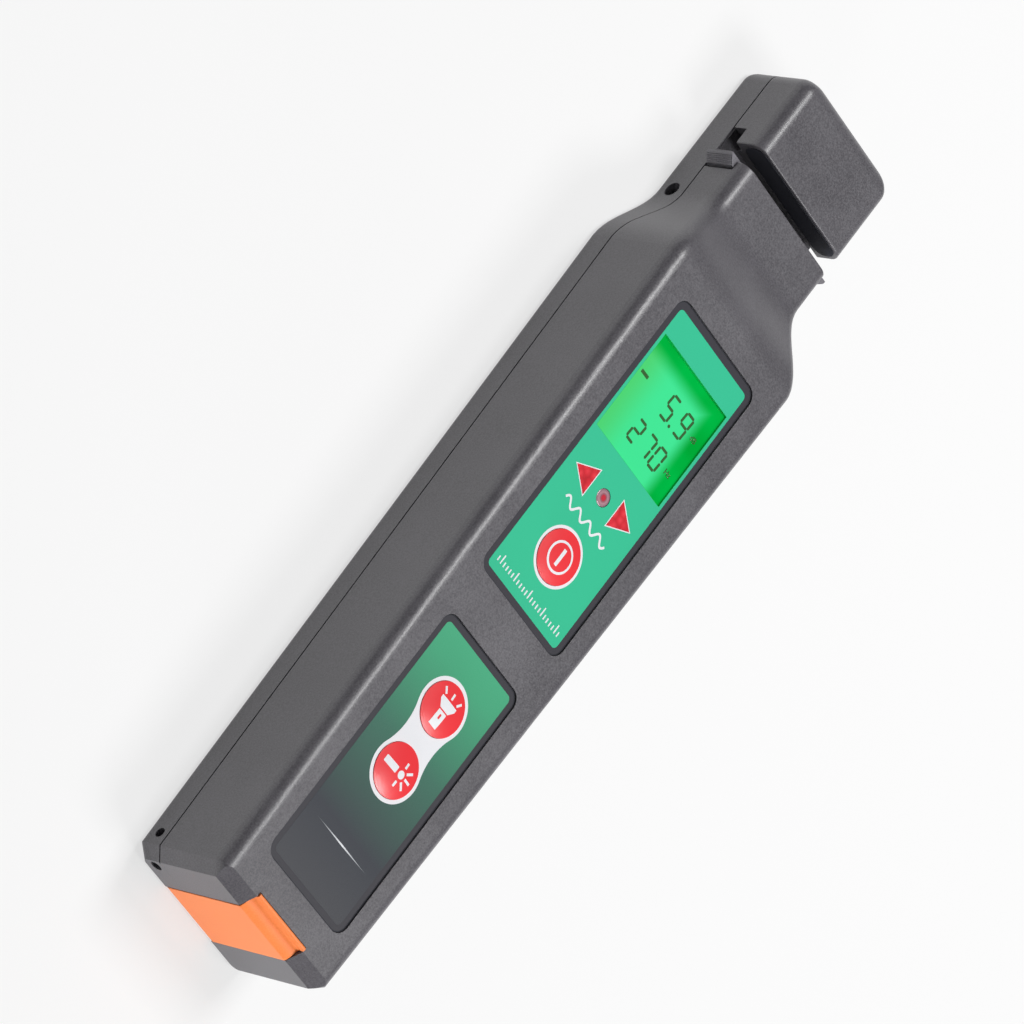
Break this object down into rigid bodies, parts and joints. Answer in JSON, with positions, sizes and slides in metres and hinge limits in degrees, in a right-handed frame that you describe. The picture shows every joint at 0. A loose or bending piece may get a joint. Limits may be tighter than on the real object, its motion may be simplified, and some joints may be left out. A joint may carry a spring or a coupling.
{
  "type": "optical fibre identifier",
  "caption": "Hand-held tester that clamps an optical fibre in a slot at its head and shows the light's direction and level on a small display, with red keys and an orange flap over its ports.",
  "frame": {"origin": "middle of the bounding box at the height of the rear face", "axes": "+X to the right as seen from the front, +Y from the lower end with the flap to the head, +Z out of the front face"},
  "size_m": [0.0446, 0.2068, 0.0262],
  "materials": {
    "shell": "fine matte texture",
    "grip": "matte",
    "upper_face": "satin film",
    "lower_face": "satin film",
    "key": "gloss",
    "flap": "satin",
    "display": "clear",
    "backlight": "satin",
    "arrow": "clear red",
    "lamp": "clear",
    "slide": "matte",
    "switch": "matte",
    "holder": "matte",
    "pad": "matte",
    "board": "satin",
    "chip": "satin",
    "steel": "plated",
    "cell": "gloss sleeve",
    "brass": "turned"
  },
  "bodies": {
    "case": {"anvil_block": "slide", "arrow_light_chips": "chip", "arrow_light_guide": "arrow", "battery_cells": "cell", "board_screws": "steel", "carriage_retainer": "steel", "case_screws": "steel", "contact_springs": "steel", "controller_chip": "switch", "detector_board": "board", "detectors": "chip", "display_backlight": "backlight", "display_glass": "display", "display_holder": "holder", "ferrule_sleeve": "brass", "flap_pin": "steel", "front_shell": "shell", "head_cover": "shell", "head_screws": "steel", "key_switches": "switch", "laser_barrel": "brass", "lower_contact": "steel", "lower_overlay": "lower_face", "main_board": "board", "rear_shell": "shell", "retainer_screws": "steel", "return_spring": "steel", "side_screws": "steel", "signal_light": "lamp", "slide_guide": "slide", "torch_board": "board", "torch_light": "lamp", "upper_contact": "steel", "upper_overlay": "upper_face"},
    "power_button": {"power_key": "key", "power_plunger": "switch"},
    "torch_button": {"torch_key": "key", "torch_plunger": "switch"},
    "laser_button": {"laser_key": "key", "laser_plunger": "switch"},
    "clamp_slide": {"trigger": "grip", "slide_carriage": "slide", "trigger_screw": "steel", "press_block": "slide", "press_pad": "pad"},
    "flap": {"end_flap": "flap"},
    "door": {"battery_door": "shell"}
  },
  "joints": [
    {"name": "power_press", "type": "slide", "parent": "case", "child": "power_button", "axis": [0, 0, -1], "range_m": [0, 0.00045], "stiffness_N_per_m": 2500},
    {"name": "torch_press", "type": "slide", "parent": "case", "child": "torch_button", "axis": [0, 0, -1], "range_m": [0, 0.00045], "stiffness_N_per_m": 2500},
    {"name": "laser_press", "type": "slide", "parent": "case", "child": "laser_button", "axis": [0, 0, -1], "range_m": [0, 0.00045], "stiffness_N_per_m": 2500},
    {"name": "trigger_slide", "type": "slide", "parent": "case", "child": "clamp_slide", "axis": [0, 1, 0], "range_m": [0, 0.0022], "stiffness_N_per_m": 600, "springref_m": -0.002, "deforming": ["return_spring"]},
    {"name": "flap_hinge", "type": "hinge", "parent": "case", "child": "flap", "pos_m": [0, -0.10153, 0.002], "axis": [1, 0, 0], "range_deg": [0, 90]},
    {"name": "door_tilt", "type": "hinge", "parent": "case", "child": "door", "pos_m": [0, -0.07683, 0], "axis": [-1, 0, 0], "range_deg": [0, 75]}
  ]
}
